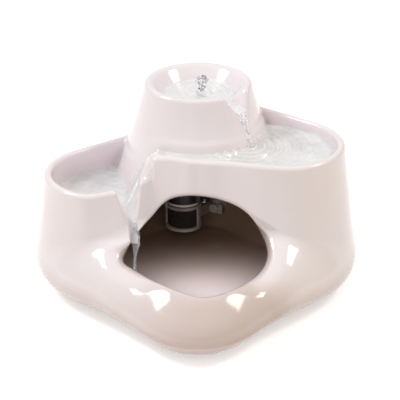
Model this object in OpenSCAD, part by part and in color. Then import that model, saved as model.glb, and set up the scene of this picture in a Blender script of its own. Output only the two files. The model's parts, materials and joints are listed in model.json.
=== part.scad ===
// Ceramic pet water fountain: a four-lobed cast body with two trays, a tower bowl and a covered
// basin, and the submersible pump, filter and riser that lift the water to the top.
// Frame: +Z up, front (drinking opening) towards -Y, origin on the floor under the middle.

/* [Base form] */
// Mean radius of the four-lobed base outline
base_r = 123.5; // [118:0.5:130]
// How far the side lobes stand proud of the mean radius
lobe_rise = 3; // [0:0.5:6]
// Depth of the hollow on each side of the front lobe
hollow_depth = 15.5; // [8:0.5:20]
// Extra reach of the front lobe
nose_reach = 19.5; // [10:0.5:24]
// Height at which the front lobe turns over into its slope
shoulder_z = 32; // [28:0.5:38]
// Length over which that slope falls away
shoulder_run = 63; // [56:0.5:70]
// Extra height of the shoulder on both flanks of the front lobe
flank_rise = 22; // [16:0.5:24]
// Radius of the foot's outer rounding
foot_round = 36; // [24:0.5:40]
// Height at which the front slope has run into the upper wall
slope_top = 79; // [77:0.5:86]

/* [Upper form] */
// Radius of the left lobe at the left rim
left_r = 53; // [50:0.5:56]
// Left lobe's centre, sideways
left_x = -71.5; // [-75:0.5:-68]
// Left lobe's centre, front to back
left_y = 19.5; // [14:0.5:24]
// Radius of the right lobe at the left rim's height
right_r = 56.5; // [53:0.5:60]
// Right lobe's centre, sideways
right_x = 64.5; // [60:0.5:68]
// Right lobe's centre, front to back
right_y = 22.5; // [18:0.5:27]
// Radius of the back lobe
back_r = 54; // [52:0.5:57]
// How much the side lobes widen per millimetre downwards
side_flare = 0.12; // [0.06:0.01:0.16]
// Height of the right rim
right_rim_z = 125; // [121:0.5:129]
// Height of the left rim
left_rim_z = 101; // [97:0.5:105]
// Middle of the step between the rims
rim_step_x = -42; // [-44:0.5:-40]
// Half length of that step
rim_step_half = 9; // [8:0.5:12]
// How far the pad beside the left spout stands above the left rim
pad_rise = 5; // [3:0.5:7]
// How much the front wall comes forward per millimetre downwards
wall_lean = 0.12; // [0.08:0.01:0.16]
// How much the left lobe's lip widens per millimetre downwards
lip_lean = 0.2; // [0.18:0.005:0.25]

/* [Walls] */
// Wall of the ceramic body
wall = 6.5; // [5.5:0.1:7.5]
// Thickness of the basin's floor
floor_t = 7.5; // [6:0.5:9]
// Thickness of the tray floors
tray_floor_t = 7; // [6:0.5:9]

/* [Trays] */
// Floor height of the right tray
right_floor_z = 102; // [98:0.5:106]
// Height of the ledge that runs round the front of the tower
ledge_z = 114; // [111:0.5:116]
// Floor height of the left tray
left_floor_z = 72; // [68:0.5:76]

/* [Tower] */
// Tower axis, front to back
tower_y = 72; // [68:0.5:74]
// Height of the bowl's rim
tower_top_z = 158; // [154:0.5:162]
// Radius of the bowl's rim
tower_r = 43.5; // [41:0.5:46]
// How much the tower widens per millimetre downwards
tower_flare = 0.29; // [0.24:0.01:0.32]
// Width of the bowl's rim
bowl_rim = 5; // [4:0.5:7]
// Depth of the bowl
bowl_depth = 24; // [20:0.5:26]
// Radius of the bowl's flat floor
bowl_floor_r = 17; // [14:0.5:20]

/* [Drinking opening] */
// Direction of the opening above the horizontal
opening_tilt = 30; // [26:0.5:34]
// Middle of the opening, height
opening_z = 60; // [58:0.5:62]

/* [Spouts] */
// Direction of the tower's V spout, turned from the front towards the right
top_spout_dir = 48; // [44:1:52]
// Depth of the tower's V spout below the rim
top_spout_depth = 18; // [14:0.5:19]
// Width of the tower's V spout at the rim
top_spout_w = 26; // [22:0.5:28]
// Direction of the left tray's V spout, turned from the front towards the right
left_spout_dir = 7; // [4:1:12]
// Depth of the left tray's V spout inside the wall
left_spout_depth = 27; // [24:0.5:28]
// Width of the left tray's V spout at the rim
left_spout_w = 21; // [18:0.5:23]
// How far the root of the left tray's V spout falls on its way out
left_spout_fall = 19.5; // [14:0.5:21]
// Thickness of the gutter under the left tray's V spout
gutter_t = 4.5; // [4:0.5:6]
// Radius of the upright groove under the tower's spout
groove_r = 14; // [12:0.5:16]
// Depth of that groove at the rim
groove_depth = 3; // [1.5:0.5:3.5]

/* [Pads and ports] */
// Radius of a foot pad
pad_r = 8; // [6:0.5:10]
// Height of a foot pad
pad_h = 3; // [2.5:0.1:4]
// How far a pad stands out of its pocket
pad_proud = 1.5; // [1:0.1:1.8]
// Radius of the cord port in the back wall
port_r = 9; // [7:0.5:10]
// Height of the cord port
port_z = 72; // [66:0.5:76]

/* [Pump] */
// Direction of the pump's axis seen from the riser
pump_dir = 135; // [125:1:145]
// Outer radius of the pump housing
pump_r = 15; // [14.8:0.1:15.4]
// Wall of the pump housing
pump_wall = 1.4; // [1.2:0.1:1.8]
// Height of the housing's lower edge
pump_z = 46; // [45:0.5:48]
// Height of the pump housing
pump_h = 32; // [31:0.5:34]
// Height of the impeller chamber
chamber_h = 10; // [9.5:0.5:11]
// Radius of the rotor well
well_r = 5.6; // [5.4:0.1:6]
// Wall of the rotor well
well_wall = 1.2; // [1:0.1:1.4]
// Radius of the fixed shaft
shaft_r = 1; // [0.8:0.05:1.2]
// Radius of the impeller
impeller_r = 11.4; // [10.5:0.1:12]
// Number of impeller vanes
vane_count = 6; // [4:1:8]
// Number of stator teeth
tooth_count = 4; // [3:1:6]

/* [Outlet and riser] */
// Outer radius of the outlet pipe
outlet_r = 4.6; // [4.3:0.1:5]
// Inner radius of the outlet pipe
outlet_bore_r = 2.8; // [2.4:0.1:3]
// Inner radius of the riser tube
riser_bore_r = 3; // [2.8:0.1:3.4]
// Wall of the riser tube
riser_wall = 1.5; // [1.2:0.1:1.8]
// Length of the outlet spigot inside the riser
spigot_len = 6; // [5:0.5:6.5]
// Radius of the bubbler nozzle
nozzle_r = 8; // [7:0.5:9]
// Height of the bubbler nozzle
nozzle_h = 7; // [6:0.5:8]

/* [Filter] */
// Height of the cage's underside
cage_z = 21; // [20:0.5:23]
// Outer radius of the cage
cage_r = 15.5; // [15.2:0.1:16]
// Height of each cage ring
ring_h = 2.5; // [2:0.1:3]
// Width of a cage post
post_w = 4; // [3:0.5:5]
// Radius of the foam's middle bore
foam_bore_r = 6; // [5:0.5:7]
// Radius of the suction cup
cup_r = 8; // [7:0.5:8.5]
// Direction of the suction cup seen from the tower's axis
cup_dir = 68; // [66:1:72]
// Height of the suction cup's axis
cup_z = 27; // [27:0.5:28]

/* [Clearances] */
// Gap between seated pieces
seat_gap = 0.3; // [0.2:0.05:0.4]
// Radial clearance of turning and sliding fits
run_gap = 0.05; // [0.03:0.01:0.09]

/* [Hidden] */

eps = 0.01;
glaze = [0.95, 0.92, 0.89];
soft_black = [0.12, 0.12, 0.13];
cage_grey = [0.72, 0.71, 0.70];

// ---- ceramic body ----
base_z = pad_proud;
basin_floor_z = base_z + floor_t;
round_steps = 64;

// Smooth union and intersection of two distances, blended over k
function blend_min(a, b, k) =
    let (h = max(0, min(1, 0.5 + 0.5 * (b - a) / k))) b + (a - b) * h - k * h * (1 - h);
function blend_max(a, b, k) = -blend_min(-a, -b, k);

// Base form: a four-lobed outline that shrinks with height, as the front lobe's slope does
lobe_sharpness = 6;
slope_power = 5;
flank_turn = 52.5;
flank_sharpness = 28;
function bump(a, at, sharpness = lobe_sharpness) = exp(sharpness * (cos(a - at) - 1));
function plan_r(a) = base_r + lobe_rise * cos(4 * a)
    - hollow_depth * (bump(a, 225) + bump(a, 315)) + nose_reach * bump(a, 270);
function shoulder(a) = shoulder_z + flank_rise
    * (bump(a, 270 - flank_turn, flank_sharpness) + bump(a, 270 + flank_turn, flank_sharpness));
function slope(a, z) = pow(1 + exp(slope_power * (z - shoulder(a)) / shoulder_run), -1 / slope_power)
    * (1 - pow(min(1, z / slope_top), 9));
function base_form(p, z) =
    let (a = atan2(p.y, p.x), r = plan_r(a), turn = (plan_r(a + 1) - r) * 180 / PI / r)
    0.8 * (norm(p) - r * slope(a, z)) / sqrt(1 + turn * turn);

// Upper form: the hull of the left, right and back lobes, each given as [x, y, r]
function lobe_pair(p, c, d) =
    let (v = [d.x - c.x, d.y - c.y], w = [p.x - c.x, p.y - c.y], h = v * v,
         across = abs(w.x * v.y - w.y * v.x) / h, along = w * v / h,
         drop = c.z - d.z, run = sqrt(h - drop * drop), k = run * along - drop * across)
    k < 0 ? norm(w) - c.z
          : k > run ? norm([p.x - d.x, p.y - d.y]) - d.z
                    : run * across + drop * along - c.z;
function upper_lobes(p, z) =
    let (flare = side_flare * (left_rim_z - z), left = [left_x, left_y, left_r + flare],
         right = [right_x, right_y, right_r + flare], back = [0, tower_y, back_r])
    min(lobe_pair(p, left, right), lobe_pair(p, right, back), lobe_pair(p, back, left));

// Recess of the front wall: a tooth slants back from the left lobe beside the left spout, and from
// its foot the wall comes forwards again to the right lobe
root = [-44, -4];
wall_face = [0.23, 0.973];
lip_at = [-65.5, -22];
lip_face = [-0.42, 0.907];
function recess(p, z) = blend_max(
    wall_face * (p - root) + wall_lean * (right_rim_z - z),
    lip_face * (p - lip_at) + lip_lean * (left_rim_z - z), 4);

form_blend = 28;
lip_blend = 7;
function form(p, z) = blend_min(
    blend_max(upper_lobes(p, z), -recess(p, z), lip_blend), base_form(p, z), form_blend);

// Distance from the heart line, in direction a, to the surface that lies inset inside the form
heart = [0, 50];
function reach(a, z, inset, near = 0, far = 200, n = 14) =
    let (mid = (near + far) / 2)
    n == 0 ? mid
           : form(heart + mid * [cos(a), sin(a)], z) < -inset
               ? reach(a, z, inset, mid, far, n - 1)
               : reach(a, z, inset, near, mid, n - 1);

// Directions round the heart line, closer together towards the front
front_focus = 0.45;
function directions(n) = [for (i = [0 : n - 1])
    let (u = 2 * i / n - 1) 270 + 180 * u * (1 - front_focus * (1 - abs(u)))];
function form_ring(n, z, inset) = [for (a = directions(n))
    let (r = reach(a, z, inset)) [heart.x + r * cos(a), heart.y + r * sin(a), z]];

// How far a quarter round of radius r, standing on height z0, has come in at height z
function round_in(z, z0, r) = z >= z0 + r ? 0 : r - sqrt(r * r - pow(z0 + r - z, 2));

// Stack of closed rings, each a list of as many points, skinned into one solid
module loft(rings) {
    n = len(rings[0]);
    m = len(rings);
    polyhedron(
        points = [for (ring = rings) for (p = ring) p],
        faces = concat(
            [[for (i = [0 : n - 1]) i]],
            [for (k = [0 : m - 2]) for (i = [0 : n - 1])
                let (j = (i + 1) % n)
                [k * n + i, (k + 1) * n + i, (k + 1) * n + j, k * n + j]],
            [[for (i = [n - 1 : -1 : 0]) (m - 1) * n + i]]));
}

outer_steps = 96;
inner_steps = 72;

module outer_form() {
    foot = [for (i = [0 : 6]) foot_round * (1 - cos(90 * i / 6))];
    upright = [for (z = [46 : 8 : right_rim_z]) z - base_z];
    loft([for (h = concat(foot, upright, [right_rim_z + 1 - base_z]))
        form_ring(outer_steps, base_z + h, round_in(h, 0, foot_round))]);
}

inner_round = foot_round - wall;

module inner_form(extra = 0) {
    foot = [for (i = [0 : 5]) basin_floor_z + (inner_round - floor_t + wall) * (1 - cos(90 * i / 5))];
    upright = [for (z = [46 : 9 : ledge_z]) z];
    loft([for (z = concat(foot, upright, [ledge_z]))
        form_ring(inner_steps, z, wall + extra + round_in(z, base_z + wall, inner_round))]);
}

module tray_form() {
    loft([for (z = concat([for (z = [left_floor_z - 6 : 12 : right_rim_z]) z], [tower_top_z]))
        form_ring(inner_steps, z, wall)]);
}

// S-shaped step from 0 at -half to 1 at +half
function s_step(t) = let (u = min(1, max(0, t))) u * u * (3 - 2 * u);
function rim_z(x) = left_rim_z
    + (right_rim_z - left_rim_z) * s_step((x - rim_step_x + rim_step_half) / (2 * rim_step_half));
ramp_x = -40;
ramp_half = 17;
bank_x = 28;
bank_half = 12;
function tray_z(x) = left_floor_z
    + (ledge_z - left_floor_z) * s_step((x - ramp_x + ramp_half) / (2 * ramp_half))
    - (ledge_z - right_floor_z) * s_step((x - bank_x + bank_half) / (2 * bank_half));

body_half = 160;
profile_x = concat([-body_half], [for (x = [-60 : 4 : 44]) x], [body_half]);

// Everything above (or below) a profile that changes only along X
module above_profile(heights, top) {
    rotate([90, 0, 0])
        linear_extrude(height = 2 * body_half, center = true)
            polygon(concat([for (i = [0 : len(profile_x) - 1]) [profile_x[i], heights[i]]],
                           [[body_half, top], [-body_half, top]]));
}

module above_rims() {
    above_profile([for (x = profile_x) rim_z(x)], tower_top_z + 40);
}

// Space in front of the wall's line, over the small pad beside the left spout
module above_pad() {
    translate([root.x, root.y, left_rim_z + pad_rise])
        rotate([0, 0, -atan2(wall_face.x, wall_face.y)])
            translate([-14, -40, 0])
                cube([26, 39, right_rim_z - left_rim_z + 20]);
}

module below_tray_floors() {
    above_profile([for (x = profile_x) tray_z(x)], -60);
}

module above_ceilings() {
    above_profile([for (x = profile_x) tray_z(x) - tray_floor_t], tower_top_z);
}

function tower_wall_r(z) = tower_r + tower_flare * (tower_top_z - z);

module tower(inset, z0, z1) {
    translate([0, tower_y, z0])
        cylinder(h = z1 - z0, r1 = tower_wall_r(z0) - inset, r2 = tower_wall_r(z1) - inset,
                 $fn = round_steps);
}

bowl_floor_z = tower_top_z - bowl_depth;

module bowl() {
    translate([0, tower_y, bowl_floor_z])
        cylinder(h = bowl_depth + eps, r1 = bowl_floor_r, r2 = tower_r - bowl_rim,
                 $fn = round_steps);
}

// Broad bank between the ledge and the left spout, as [x, y, radius, height]
bank_steps = [[-42, 0, 6, left_rim_z + 2], [-36, 1, 7.5, left_rim_z + 8], [-28, -1, 7, right_rim_z - 4]];

module bank() {
    for (i = [0 : 1])
        hull()
            for (b = [bank_steps[i], bank_steps[i + 1]])
                translate([b[0], b[1], left_floor_z - 1])
                    cylinder(h = b[3] - left_floor_z + 1, r1 = b[2] + 4, r2 = b[2], $fn = 32);
}

// The trays and the ledge between them
module tray_space() {
    difference() {
        tray_form();
        below_tray_floors();
        tower(0, left_floor_z - 20, tower_top_z + 1);
        bank();
    }
}

// The basin under the trays
module basin_space() {
    difference() {
        inner_form();
        above_ceilings();
    }
}

// Outline of the drinking opening: a rounded triangle, wide and low
opening_y = -45;
opening_circles = [[-51.3, -4.6, 7.6], [-13.7, 20.8, 23.4], [21.7, 8, 29.6], [39.5, -6.2, 14],
                   [4.7, -12.6, 25]];

module drinking_opening() {
    translate([0, opening_y, opening_z])
        rotate([90 - opening_tilt, 0, 0])
            translate([0, 0, -24])
                linear_extrude(height = 120)
                    hull()
                        for (c = opening_circles)
                            translate([c[0], c[1]]) circle(r = c[2], $fn = 48);
}

// A V cut along -Y with a rounded root that falls away outwards and stands to one side by skew.
// It grows all round by extra.
module v_spout(depth, w, length, fall, skew = 0, extra = 0) {
    root_r = 3;
    hull()
        for (end = [0, 1])
            translate([0, -end * length, 0])
                rotate([90, 0, 0])
                    linear_extrude(height = eps)
                        hull() {
                            translate([skew, root_r - depth - end * fall])
                                circle(r = root_r + extra, $fn = 24);
                            square([w + 2 * extra, eps], center = true);
                            translate([-6 * skew / depth, 6])
                                square([w * (depth + 6) / depth + 2 * extra, eps], center = true);
                        }
}

// Middles of the spouts' starts, inside the rims
top_spout_in = 14;
left_spout_start = [-57.5, -4];
left_spout_length = 34;
left_spout_skew = 4.6;

module top_spout() {
    translate([0, tower_y, tower_top_z])
        rotate([0, 0, top_spout_dir])
            translate([0, -tower_r + top_spout_in, 0])
                v_spout(top_spout_depth, top_spout_w, 32, 4);
}

module left_spout(extra = 0) {
    translate([left_spout_start.x, left_spout_start.y, left_rim_z])
        rotate([0, 0, left_spout_dir])
            v_spout(left_spout_depth, left_spout_w, left_spout_length, left_spout_fall,
                    left_spout_skew, extra);
}

// Solid gutter under the left spout, inside the body
module gutter() {
    intersection() {
        left_spout(gutter_t);
        outer_form();
        below_tray_floors();
    }
}

// Shallow upright groove under the tower's spout, fading out above the ledge
module spout_groove() {
    fade = 0.65;
    translate([0, tower_y, 0])
        rotate([0, 0, top_spout_dir])
            hull() {
                translate([0, groove_depth - tower_r - groove_r, tower_top_z])
                    cylinder(h = 5, r = groove_r, $fn = 32);
                translate([0, -0.7 - tower_wall_r(ledge_z) - groove_r * fade, ledge_z])
                    cylinder(h = eps, r = groove_r * fade, $fn = 32);
            }
}

// Hollow of the tower over the basin
module tower_space() {
    intersection() {
        tower(wall + 0.5, left_floor_z - 5, bowl_floor_z - tray_floor_t);
        tray_form();
    }
}

// Middles of the four pads, under the lobes
pad_spots = [[0, -74], [0, 80], [-78, 14], [78, 14]];

// The tower above the rims, and its foot inside the body
module tower_solid() {
    tower(0, right_rim_z - 8, tower_top_z);
    intersection() {
        tower(0, left_floor_z - tray_floor_t, right_rim_z);
        outer_form();
    }
}

module ceramic_body() {
    color(glaze)
        difference() {
            union() {
                difference() {
                    union() {
                        difference() {
                            outer_form();
                            above_rims();
                            above_pad();
                            tray_space();
                        }
                        tower_solid();
                    }
                    basin_space();
                }
                gutter();
            }
            tower_space();
            drinking_opening();
            bowl();
            left_spout();
            top_spout();
            spout_groove();
            pockets();
        }
}

// ---- holes in the ceramic body ----
riser_r = riser_bore_r + riser_wall;
grommet_wall = 3;
grommet_hole_r = riser_r + grommet_wall;

module pockets() {
    for (p = pad_spots)
        translate([p.x, p.y, base_z - eps])
            cylinder(h = pad_h - pad_proud + eps, r = pad_r + seat_gap, $fn = 48);
    translate([0, tower_y, bowl_floor_z - tray_floor_t - 1])
        cylinder(h = tray_floor_t + 2, r = grommet_hole_r, $fn = 48);
    translate([0, tower_y, port_z])
        rotate([-90, 0, 0])
            cylinder(h = back_r + 20, r = port_r, $fn = 48);
}

// ---- rubber pieces seated in the body ----
module foot_pad(i) {
    color(soft_black)
        translate([pad_spots[i].x, pad_spots[i].y, 0])
            cylinder(h = pad_h, r = pad_r, $fn = 64);
}

// A sleeve in a hole along +Z from 0 to t, with a flange past each end
module grommet(hole_r, bore_r, t, flange_r, flange_t, far_gap) {
    color(soft_black)
        difference() {
            union() {
                translate([0, 0, -far_gap - flange_t])
                    cylinder(h = t + far_gap + 2 * flange_t, r = hole_r - seat_gap, $fn = 64);
                translate([0, 0, t])
                    cylinder(h = flange_t, r = flange_r, $fn = 64);
                translate([0, 0, -far_gap - flange_t])
                    cylinder(h = flange_t, r = flange_r, $fn = 64);
            }
            translate([0, 0, -far_gap - 2 * flange_t])
                cylinder(h = t + far_gap + 4 * flange_t, r = bore_r, $fn = 64);
        }
}

port_flange = 2;
port_bore_r = 3;
// Gap that the curved wall needs at the inner flange's edge
inner_back_r = back_r - wall;
port_sag = inner_back_r - sqrt(pow(inner_back_r, 2) - pow(port_r + port_flange, 2));

module cord_grommet() {
    translate([0, tower_y + inner_back_r, port_z])
        rotate([-90, 0, 0])
            grommet(port_r, port_bore_r, wall + seat_gap, port_r + port_flange, 1.7,
                    port_sag + seat_gap);
}

riser_flange_t = 1.5;

module riser_grommet() {
    translate([0, tower_y, bowl_floor_z - tray_floor_t])
        grommet(grommet_hole_r, riser_r + run_gap, tray_floor_t, grommet_hole_r + 2,
                riser_flange_t, seat_gap);
}

// ---- riser and nozzle ----
housing_top_z = pump_z + pump_h;
nozzle_z = bowl_floor_z + riser_flange_t + seat_gap;

module riser_tube() {
    low = housing_top_z + seat_gap;
    high = nozzle_z - seat_gap;
    color([0.86, 0.88, 0.88])
        translate([0, tower_y, low])
            difference() {
                cylinder(h = high - low, r = riser_r, $fn = 64);
                translate([0, 0, -1])
                    cylinder(h = high - low + 2, r = riser_bore_r, $fn = 64);
            }
}

nozzle_bore_r = 1.8;
nozzle_spigot = 7;

module bubbler_nozzle() {
    round_r = 3;
    color(cage_grey)
        translate([0, tower_y, nozzle_z])
            rotate_extrude($fn = 64)
                difference() {
                    union() {
                        square([nozzle_r, nozzle_h - round_r]);
                        square([nozzle_r - round_r, nozzle_h]);
                        translate([nozzle_r - round_r, nozzle_h - round_r]) circle(r = round_r, $fn = 48);
                        translate([0, -nozzle_spigot])
                            square([riser_bore_r - run_gap, nozzle_spigot + eps]);
                    }
                    translate([-nozzle_r, -2 * nozzle_spigot])
                        square([nozzle_r + nozzle_bore_r, 3 * nozzle_spigot + nozzle_h]);
                }
}

// ---- suction cup: a bell pressed flat on the basin's curved back wall ----
neck_r = 2.5;
knob_r = 4;
knob_t = 1.6;
yoke_t = 2.2;
yoke_slack = 0.4;
bell_depth = 7;
wall_at_cup = back_r - wall - round_in(cup_z, base_z + wall, inner_round);
yoke_reach = wall_at_cup - bell_depth - yoke_slack - yoke_t;

module suction_cup() {
    skin = 1.2;
    past_wall = 4;
    color([0.80, 0.82, 0.82])
        intersection() {
            translate([0, tower_y, cup_z])
                rotate([0, 0, cup_dir])
                    rotate([0, 90, 0])
                        rotate_extrude($fn = 48)
                            translate([0, yoke_reach - yoke_slack - knob_t])
                                polygon([
                                    [0, 0], [knob_r, 0], [knob_r, knob_t], [neck_r, knob_t],
                                    [neck_r, knob_t + yoke_t + 2 * yoke_slack],
                                    [neck_r + 2, knob_t + yoke_t + 2 * yoke_slack + 1],
                                    [cup_r, knob_t + yoke_t + 2 * yoke_slack + bell_depth - 1],
                                    [cup_r, knob_t + yoke_t + bell_depth + past_wall],
                                    [cup_r - skin, knob_t + yoke_t + bell_depth + past_wall],
                                    [neck_r, knob_t + yoke_t + 2 * yoke_slack + 2 * skin + 1],
                                    [0, knob_t + yoke_t + 2 * yoke_slack + 2 * skin + 1]]);
            inner_form(seat_gap);
        }
}

// ---- pump, along its own upright axis ----
module at_pump(z) {
    translate([pump_x, pump_y, z]) children();
}

motor_r = pump_r - pump_wall;
// The outlet pipe stands beside the motor space, on the riser's axis
pipe_web = 1.2;
pump_off = motor_r + pipe_web + outlet_bore_r;
pump_x = pump_off * cos(pump_dir);
pump_y = tower_y + pump_off * sin(pump_dir);
outlet_x = -pump_x;
outlet_y = tower_y - pump_y;
chamber_gap = 1.4;
chamber_r = impeller_r + chamber_gap;
chamber_top_z = pump_z + chamber_h;
deck_t = 1.5;
motor_floor_z = chamber_top_z + deck_t;
cap_t = 2;
potting_top_z = housing_top_z - cap_t;
well_top_z = potting_top_z - 2;
well_outer_r = well_r + well_wall;
cover_t = 2.5;

module pump_housing() {
    passage_z = pump_z + cover_t + 4.5;
    passage_r = 2.5;
    color(soft_black)
        at_pump(0)
            difference() {
                union() {
                    translate([0, 0, pump_z]) cylinder(h = pump_h, r = pump_r, $fn = 96);
                    translate([outlet_x, outlet_y, pump_z + cover_t + 0.5])
                        cylinder(h = pump_h - cover_t - 0.5, r = outlet_r, $fn = 64);
                    translate([outlet_x, outlet_y, housing_top_z - eps])
                        cylinder(h = spigot_len, r = riser_bore_r - run_gap, $fn = 64);
                }
                // impeller chamber and the seat of the intake cover
                translate([0, 0, pump_z - 1]) cylinder(h = chamber_h + 1, r = chamber_r, $fn = 96);
                // O-ring groove
                translate([0, 0, seal_z - seal_r]) cylinder(h = 2 * seal_r, r = chamber_r + 2 * seal_r, $fn = 96);
                // rotor well
                translate([0, 0, chamber_top_z - 1])
                    cylinder(h = well_top_z - chamber_top_z + 1, r = well_r, $fn = 64);
                // motor space round the well
                difference() {
                    translate([0, 0, motor_floor_z])
                        cylinder(h = pump_h, r = motor_r, $fn = 96);
                    cylinder(h = well_top_z + well_wall, r = well_outer_r, $fn = 64);
                }
                // outlet: a passage from the chamber, then up the pipe
                translate([outlet_x, outlet_y, passage_z])
                    rotate([0, 90, pump_dir])
                        cylinder(h = pump_off - chamber_r + 2, r = passage_r, $fn = 48);
                translate([outlet_x, outlet_y, passage_z - passage_r - 0.5])
                    cylinder(h = housing_top_z - passage_z, r = outlet_bore_r, $fn = 48);
                translate([outlet_x, outlet_y, passage_z])
                    cylinder(h = pump_h + spigot_len, r = riser_bore_r - run_gap - 0.9, $fn = 48);
            }
}

hub_r = 4;
hub_drop = 2.6;
hub_lip_t = 0.8;
bush_r = 2.6;
bush_len = 3;
port_inner_r = 5.6;
port_outer_r = 11;
port_angle = 50;
port_count = 3;

// Ring segments, as the intake windows in the cover and in the flow ring
module intake_windows(h) {
    for (i = [0 : port_count - 1])
        rotate([0, 0, i * 360 / port_count])
            rotate_extrude(angle = port_angle, $fn = 96)
                translate([port_inner_r, 0]) square([port_outer_r - port_inner_r, h]);
}

module intake_cover() {
    color(soft_black)
        at_pump(pump_z)
            difference() {
                union() {
                    cylinder(h = cover_t, r = chamber_r - run_gap, $fn = 96);
                    translate([0, 0, -hub_drop]) cylinder(h = hub_drop + eps, r = hub_r, $fn = 64);
                    translate([0, 0, -hub_drop - hub_lip_t])
                        cylinder(h = hub_lip_t + eps, r = hub_r + 0.8, $fn = 64);
                }
                translate([0, 0, cover_t - bush_len])
                    cylinder(h = bush_len + 1, r = bush_r + run_gap, $fn = 64);
                translate([0, 0, -1]) intake_windows(cover_t + 2);
            }
}

// O-ring in its groove between cover and housing
seal_r = 0.55;
seal_z = pump_z + cover_t / 2;

module cover_seal() {
    color([0.25, 0.10, 0.08])
        at_pump(seal_z)
            rotate_extrude($fn = 96)
                translate([chamber_r + seal_r, 0]) circle(r = seal_r - run_gap, $fn = 24);
}

flow_t = 2;
flow_tab_dir = -10;
flow_z = pump_z - seat_gap - flow_t;

module flow_ring() {
    tab_w = 4;
    tab_reach = 4;
    color([0.55, 0.55, 0.56])
        at_pump(flow_z)
            difference() {
                union() {
                    cylinder(h = flow_t, r = pump_r - 0.8, $fn = 96);
                    rotate([0, 0, flow_tab_dir])
                        translate([0, -tab_w / 2, 0])
                            cube([pump_r + tab_reach, tab_w, flow_t]);
                }
                translate([0, 0, -1]) cylinder(h = flow_t + 2, r = hub_r + run_gap, $fn = 64);
                translate([0, 0, -1]) intake_windows(flow_t + 2);
            }
}

// ---- rotor ----
sleeve_r = 2.2;
end_float = 0.3;
sleeve_z = pump_z + cover_t + end_float;
upper_bush_t = 2;
sleeve_top_z = well_top_z - upper_bush_t - end_float;
vane_t = 1.2;
plate_t = 1.2;
plate_z = chamber_top_z - 0.6 - plate_t;

module impeller() {
    vane_low = pump_z + cover_t + 1;
    vane_root = 1.5;
    color([0.90, 0.90, 0.88])
        at_pump(0)
            difference() {
                union() {
                    translate([0, 0, sleeve_z])
                        cylinder(h = sleeve_top_z - sleeve_z, r = sleeve_r, $fn = 48);
                    translate([0, 0, plate_z]) cylinder(h = plate_t, r = impeller_r, $fn = 96);
                    for (i = [0 : vane_count - 1])
                        rotate([0, 0, i * 360 / vane_count])
                            translate([vane_root, -vane_t / 2, vane_low])
                                cube([impeller_r - vane_root - 0.4, vane_t, plate_z - vane_low + eps]);
                }
                translate([0, 0, sleeve_z - 1])
                    cylinder(h = sleeve_top_z - sleeve_z + 2, r = shaft_r + run_gap, $fn = 48);
            }
}

magnet_gap = 0.4;

module rotor_magnet() {
    low = chamber_top_z + 0.8;
    high = sleeve_top_z - 0.5;
    color([0.30, 0.29, 0.28])
        at_pump(low)
            difference() {
                cylinder(h = high - low, r = well_r - magnet_gap, $fn = 64);
                translate([0, 0, -1])
                    cylinder(h = high - low + 2, r = sleeve_r + run_gap / 2, $fn = 48);
            }
}

module pump_shaft() {
    low = pump_z + cover_t - bush_len;
    color([0.93, 0.93, 0.94])
        at_pump(low)
            cylinder(h = well_top_z - low, r = shaft_r, $fn = 48);
}

module bush(h, r) {
    color([0.20, 0.20, 0.20])
        difference() {
            cylinder(h = h, r = r, $fn = 64);
            translate([0, 0, -1]) cylinder(h = h + 2, r = shaft_r + run_gap, $fn = 48);
        }
}

module lower_bush() {
    at_pump(pump_z + cover_t - bush_len) bush(bush_len, bush_r);
}

module upper_bush() {
    at_pump(well_top_z - upper_bush_t) bush(upper_bush_t, well_r - run_gap);
}

// ---- motor ----
core_h = 8;
yoke_ring_t = 2.4;
tooth_w = 3;
tooth_h = 4;
winding_t = 1.5;
core_r = motor_r - seat_gap;

module tooth(w, h, from_r, to_r) {
    translate([from_r, -w / 2, (core_h - h) / 2]) cube([to_r - from_r, w, h]);
}

module stator_core() {
    color([0.62, 0.63, 0.65])
        at_pump(motor_floor_z) {
            difference() {
                cylinder(h = core_h, r = core_r, $fn = 96);
                translate([0, 0, -1])
                    cylinder(h = core_h + 2, r = core_r - yoke_ring_t, $fn = 96);
            }
            for (i = [0 : tooth_count - 1])
                rotate([0, 0, i * 360 / tooth_count])
                    tooth(tooth_w, tooth_h, well_outer_r + seat_gap, core_r - yoke_ring_t / 2);
        }
}

module stator_coils() {
    low_r = well_outer_r + 1;
    high_r = sqrt(pow(core_r - yoke_ring_t - 0.3, 2) - pow(tooth_w / 2 + winding_t, 2));
    color([0.72, 0.42, 0.22])
        at_pump(motor_floor_z) {
            for (i = [0 : tooth_count - 1])
                rotate([0, 0, i * 360 / tooth_count])
                    difference() {
                        tooth(tooth_w + 2 * winding_t, tooth_h + 2 * winding_t, low_r, high_r);
                        tooth(tooth_w + 2 * run_gap, tooth_h + 2 * run_gap, low_r - 1, high_r + 1);
                    }
            // ring of wire that joins the coils
            translate([0, 0, core_h / 2 + tooth_h / 2 + winding_t - 0.5])
                difference() {
                    cylinder(h = 0.8, r = high_r - 0.5, $fn = 64);
                    translate([0, 0, -1]) cylinder(h = 3, r = high_r - 1.8, $fn = 64);
                }
        }
}

gland_r = 2.9;
gland_flange_r = 4.3;
gland_bore_r = 1.8;
gland_dir = 135;
gland_root = 4;
gland_h = 7;

module at_gland(z) {
    at_pump(z) rotate([0, 0, gland_dir]) translate([motor_r - gland_r - 0.5, 0, 0]) children();
}

module potting() {
    low = motor_floor_z + core_h;
    color([0.10, 0.10, 0.10])
        difference() {
            at_pump(low) cylinder(h = potting_top_z - low, r = motor_r - run_gap, $fn = 96);
            at_pump(low - 1)
                cylinder(h = well_top_z + well_wall - low + 1 + run_gap, r = well_outer_r + run_gap, $fn = 64);
            at_gland(potting_top_z - gland_root) cylinder(h = gland_root + 1, r = gland_r + run_gap, $fn = 48);
        }
}

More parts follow.
